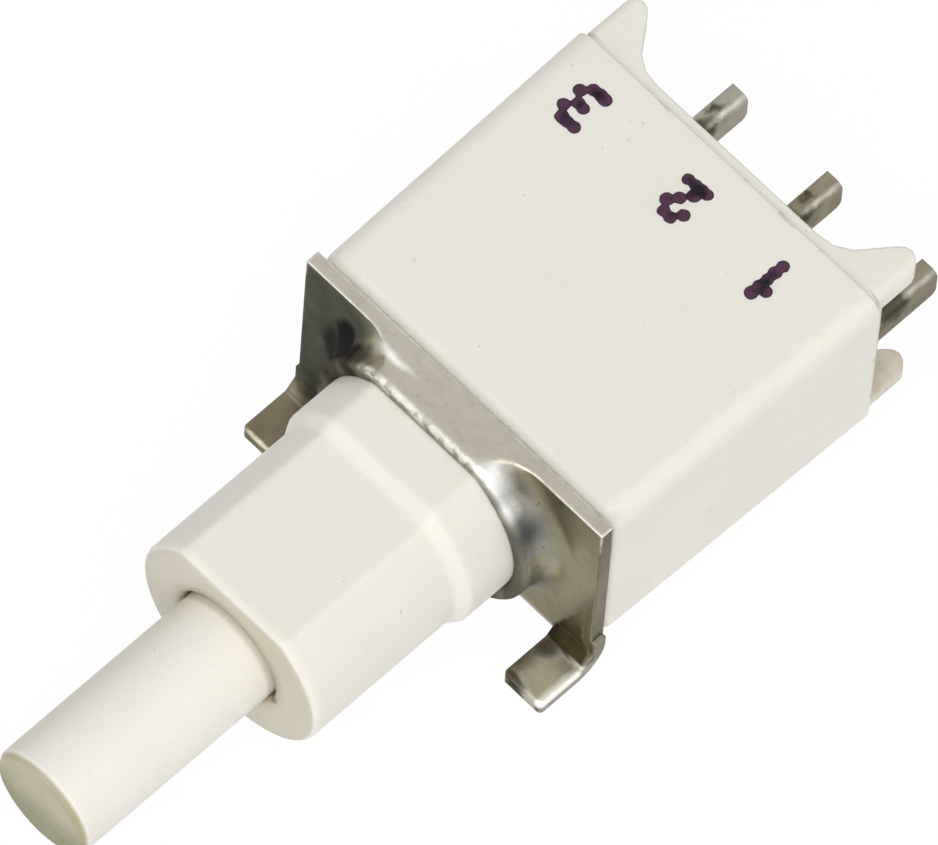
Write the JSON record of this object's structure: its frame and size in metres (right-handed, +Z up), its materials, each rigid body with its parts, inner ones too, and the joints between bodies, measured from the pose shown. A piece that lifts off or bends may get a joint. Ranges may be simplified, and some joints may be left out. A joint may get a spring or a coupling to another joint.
{
  "type": "push button switch",
  "caption": "Subminiature sprung push button switch with a D-shaped bushing, a metal bracket with feet that rest on a board, and bent terminals with stand-off ears.",
  "frame": {"origin": "On the board plane, under the button's axis, in the front plane of the bracket plate", "axes": "+Y runs along the button's axis from the button to the terminals, +Z is up from the board, +X is across, to the right seen from the button"},
  "size_m": [0.008, 0.0208, 0.0054],
  "materials": {
    "case_plastic": "satin moulded",
    "base_plastic": "satin moulded",
    "button_plastic": "satin turned",
    "slider_plastic": "moulded",
    "bracket_steel": "tin plated",
    "spring_steel": "drawn wire",
    "seat_brass": "turned",
    "contact_silver": "silver plated",
    "terminal_metal": "silver plated, dulled",
    "seal_epoxy": "cast"
  },
  "bodies": {
    "switch_body": {"housing": "case_plastic", "bracket": "bracket_steel", "spring_seat": "seat_brass", "base": "base_plastic", "terminal_1": "terminal_metal", "terminal_2": "terminal_metal", "terminal_3": "terminal_metal", "terminal_seal": "seal_epoxy", "return_spring": "spring_steel"},
    "button": {"plunger": "button_plastic", "slider": "slider_plastic", "stem_clip": "spring_steel", "bridge_contact": "contact_silver", "contact_spring": "spring_steel"}
  },
  "joints": [
    {"name": "button_press", "type": "slide", "parent": "switch_body", "child": "button", "axis": [0, 1, 0], "range_m": [0, 0.0012], "stiffness_N_per_m": 490, "springref_m": -0.003, "deforming": ["return_spring"]}
  ]
}
